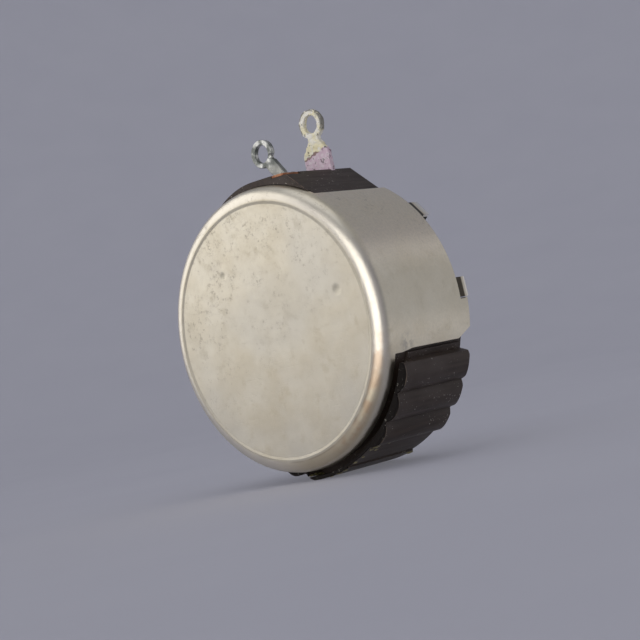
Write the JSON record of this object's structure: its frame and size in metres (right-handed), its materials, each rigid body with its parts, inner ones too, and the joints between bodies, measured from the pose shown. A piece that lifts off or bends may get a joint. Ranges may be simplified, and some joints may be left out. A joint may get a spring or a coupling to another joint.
{
  "type": "wirewound rheostat",
  "caption": "Panel-mount wirewound rheostat with a round drawn-metal cover over a ribbed moulded housing, a threaded bushing, a flatted shaft and soldering lugs.",
  "frame": {"origin": "on the shaft axis, at the mounting face of the front plate", "axes": "+Y runs out along the shaft, +Z points from the shaft axis to the terminal block, +X is to the left of someone facing the shaft"},
  "size_m": [0.042, 0.0397, 0.0539],
  "materials": {
    "nickel_cover": "dull nickel plate, lightly stained",
    "fishpaper": "grey insulating paper",
    "phenolic": "moulded, semi-matt",
    "zinc_steel": "plated, dull",
    "nickel_brass": "nickel plated",
    "tinned_brass": "tinned",
    "fibre": "vulcanised fibre",
    "brass": "bare",
    "laminate": "paper laminate",
    "resistance_wire": "oxidised wire",
    "shaft_steel": "turned",
    "spring_steel": "oiled",
    "rotor_phenolic": "moulded",
    "spring_bronze": "rolled strip",
    "contact_metal": "worn"
  },
  "bodies": {
    "stator": {"back_cover": "nickel_cover", "cover_insulator": "fishpaper", "housing": "phenolic", "front_plate": "zinc_steel", "bushing": "nickel_brass", "lug_end": "tinned_brass", "lug_wiper": "tinned_brass", "terminal_insulator": "fibre", "terminal_rivets": "brass", "resistance_former": "laminate", "resistance_winding": "resistance_wire", "end_clip_live": "brass", "end_clip_open": "brass", "collector_ring": "brass", "thrust_washer": "fibre"},
    "rotor": {"shaft": "shaft_steel", "shaft_retaining_ring": "spring_steel", "rotor_hub": "rotor_phenolic", "contact_arm": "spring_bronze", "contact_shoe": "contact_metal", "contact_rivets": "brass", "collector_spring": "spring_bronze"}
  },
  "joints": [
    {"name": "shaft_turn", "type": "hinge", "parent": "stator", "child": "rotor", "pos_m": [0, 0, 0], "axis": [0, 1, 0], "range_deg": [-140, 140]}
  ]
}
